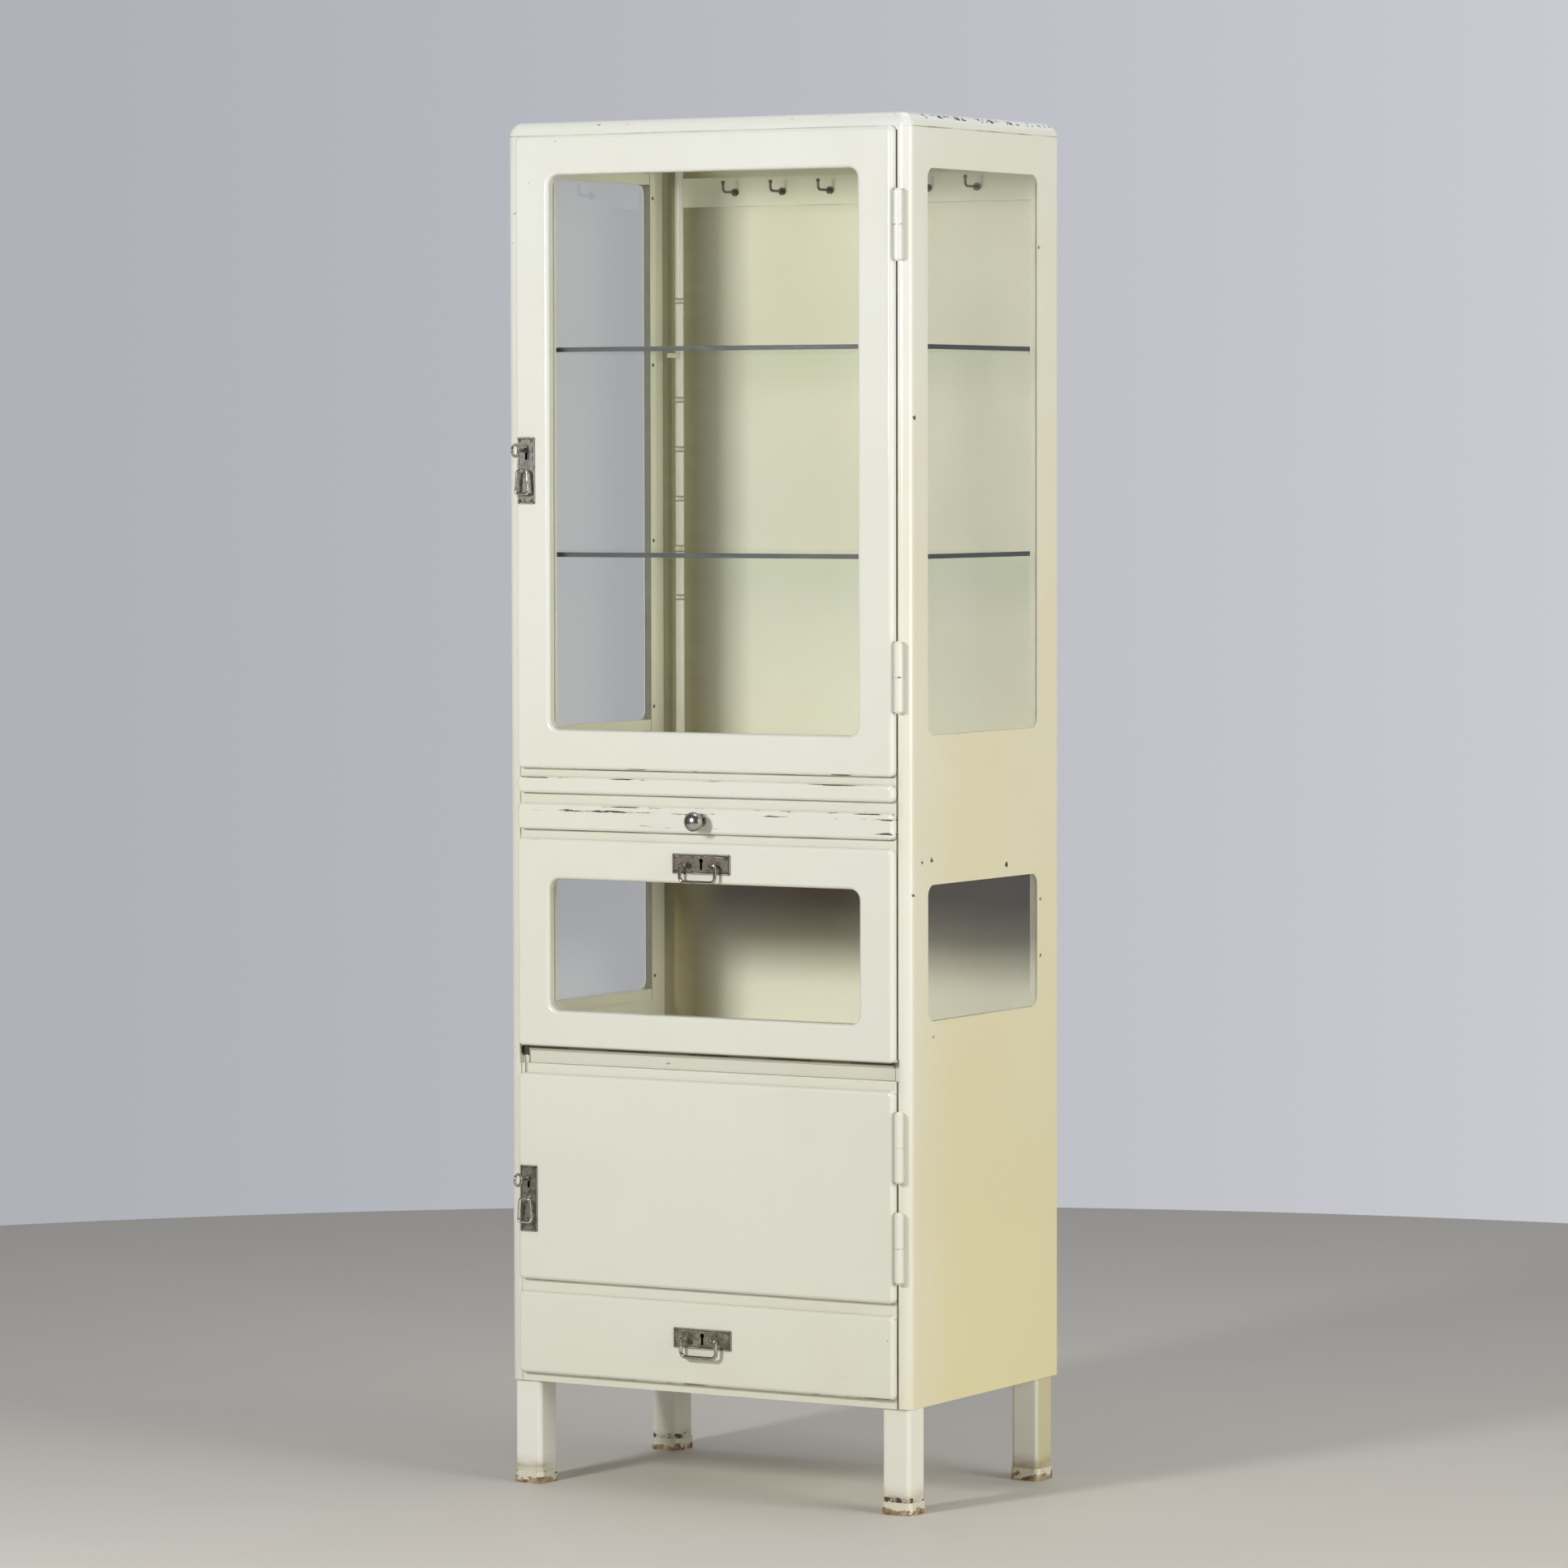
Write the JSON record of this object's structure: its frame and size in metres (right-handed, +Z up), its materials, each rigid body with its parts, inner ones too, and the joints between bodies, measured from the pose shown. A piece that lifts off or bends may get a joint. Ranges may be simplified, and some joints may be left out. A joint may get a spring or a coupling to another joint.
{
  "type": "medical cabinet",
  "caption": "Free-standing enamelled steel instrument cabinet on legs: glazed door with shelves, pull-out shelf, tray, glazed drop flap, cupboard and drawer.",
  "frame": {"origin": "on the floor, under the middle of the whole outline", "axes": "+X to the right of someone facing the doors, +Y to the back, +Z up"},
  "size_m": [0.594, 0.4302, 1.75],
  "materials": {
    "ivory_enamel": "gloss baked enamel, aged ivory",
    "clear_glass": "clear polished sheet glass",
    "bright_nickel": "polished nickel plate",
    "dark_plate": "dark brown patina with worn edges",
    "bare_steel": "satin, slightly tarnished",
    "worn_foot": "worn enamel with rust spots"
  },
  "bodies": {
    "carcass": {"top_panel": "ivory_enamel", "left_side": "ivory_enamel", "right_side": "ivory_enamel", "back_panel": "ivory_enamel", "bottom_panel": "ivory_enamel", "cupboard_floor": "ivory_enamel", "flap_floor": "ivory_enamel", "flap_ceiling": "ivory_enamel", "upper_floor": "ivory_enamel", "bottom_rail": "ivory_enamel", "rail_over_drawer": "ivory_enamel", "rail_under_flap": "ivory_enamel", "rail_over_flap": "ivory_enamel", "rail_over_tray": "ivory_enamel", "rail_over_shelf": "ivory_enamel", "slide_runners": "ivory_enamel", "side_window_panes": "clear_glass", "side_window_beads": "ivory_enamel", "shelf_uprights": "bare_steel", "shelf_rests": "bare_steel", "glass_shelves": "clear_glass", "hook_rail": "ivory_enamel", "hooks": "bright_nickel", "legs": "ivory_enamel", "foot_caps": "worn_foot", "hinge_pins": "ivory_enamel", "flap_hinge_fixed_leaf": "ivory_enamel"},
    "upper_door": {"upper_door_frame": "ivory_enamel", "upper_door_glass": "clear_glass", "upper_door_beads": "ivory_enamel", "upper_door_knuckles": "ivory_enamel", "upper_lock_plate": "dark_plate", "upper_lock_case": "bare_steel"},
    "upper_bolt": {"upper_lock_bolt": "bare_steel"},
    "upper_key": {"upper_key": "bright_nickel"},
    "upper_ring": {"upper_drop_ring": "bright_nickel"},
    "lower_door": {"lower_door_panel": "ivory_enamel", "lower_door_knuckles": "ivory_enamel", "lower_lock_plate": "dark_plate", "lower_lock_case": "bare_steel"},
    "lower_bolt": {"lower_lock_bolt": "bare_steel"},
    "lower_key": {"lower_key": "bright_nickel"},
    "lower_ring": {"lower_drop_ring": "bright_nickel"},
    "flap": {"flap_frame": "ivory_enamel", "flap_glass": "clear_glass", "flap_beads": "ivory_enamel", "flap_hinge_moving_leaf": "ivory_enamel", "flap_lock_plate": "dark_plate", "flap_lock_case": "bare_steel"},
    "flap_bolt": {"flap_lock_bolt": "bare_steel"},
    "flap_bail": {"flap_bail": "bright_nickel"},
    "writing_shelf": {"pull_out_shelf": "ivory_enamel"},
    "tray": {"tray": "ivory_enamel", "tray_knob": "bright_nickel"},
    "drawer": {"drawer_front": "ivory_enamel", "drawer_box": "ivory_enamel", "drawer_lock_plate": "dark_plate", "drawer_lock_case": "bare_steel"},
    "drawer_bolt": {"drawer_lock_bolt": "bare_steel"},
    "drawer_bail": {"drawer_bail": "bright_nickel"}
  },
  "joints": [
    {"name": "upper_door_hinge", "type": "hinge", "parent": "carcass", "child": "upper_door", "pos_m": [0.2839, -0.1753, 1.32], "axis": [0, 0, 1], "range_deg": [0, 170]},
    {"name": "lower_door_hinge", "type": "hinge", "parent": "carcass", "child": "lower_door", "pos_m": [0.2839, -0.1753, 0.4], "axis": [0, 0, 1], "range_deg": [0, 170]},
    {"name": "flap_hinge", "type": "hinge", "parent": "carcass", "child": "flap", "pos_m": [0, -0.1614, 0.5632], "axis": [1, 0, 0], "range_deg": [0, 90]},
    {"name": "writing_shelf_slide", "type": "slide", "parent": "carcass", "child": "writing_shelf", "axis": [0, -1, 0], "range_m": [0, 0.3]},
    {"name": "tray_slide", "type": "slide", "parent": "carcass", "child": "tray", "axis": [0, -1, 0], "range_m": [0, 0.28]},
    {"name": "drawer_slide", "type": "slide", "parent": "carcass", "child": "drawer", "axis": [0, -1, 0], "range_m": [0, 0.3]},
    {"name": "upper_key_turn", "type": "hinge", "parent": "upper_door", "child": "upper_key", "pos_m": [-0.2605, -0.19, 1.3313], "axis": [0, 1, 0], "range_deg": [0, 180]},
    {"name": "upper_bolt_slide", "type": "slide", "parent": "upper_door", "child": "upper_bolt", "axis": [-1, 0, 0], "range_m": [0, 0.008]},
    {"name": "upper_ring_swing", "type": "hinge", "parent": "upper_door", "child": "upper_ring", "pos_m": [-0.2605, -0.1906, 1.3055], "axis": [-1, 0, 0], "range_deg": [-12, 120]},
    {"name": "lower_key_turn", "type": "hinge", "parent": "lower_door", "child": "lower_key", "pos_m": [-0.2605, -0.19, 0.3968], "axis": [0, 1, 0], "range_deg": [0, 180]},
    {"name": "lower_bolt_slide", "type": "slide", "parent": "lower_door", "child": "lower_bolt", "axis": [-1, 0, 0], "range_m": [0, 0.008]},
    {"name": "lower_ring_swing", "type": "hinge", "parent": "lower_door", "child": "lower_ring", "pos_m": [-0.2605, -0.1906, 0.371], "axis": [-1, 0, 0], "range_deg": [-12, 120]},
    {"name": "flap_bolt_slide", "type": "slide", "parent": "flap", "child": "flap_bolt", "axis": [0, 0, 1], "range_m": [0, 0.008]},
    {"name": "flap_bail_swing", "type": "hinge", "parent": "flap", "child": "flap_bail", "pos_m": [0, -0.1906, 0.8085], "axis": [-1, 0, 0], "range_deg": [-15, 155]},
    {"name": "drawer_bolt_slide", "type": "slide", "parent": "drawer", "child": "drawer_bolt", "axis": [0, 0, 1], "range_m": [0, 0.008]},
    {"name": "drawer_bail_swing", "type": "hinge", "parent": "drawer", "child": "drawer_bail", "pos_m": [0, -0.1906, 0.2054], "axis": [-1, 0, 0], "range_deg": [-15, 155]}
  ],
  "couplings": [
    {"joint": "upper_bolt_slide", "follows": "upper_key_turn", "m_per_rad": 0.0025465},
    {"joint": "lower_bolt_slide", "follows": "lower_key_turn", "m_per_rad": 0.0025465}
  ]
}
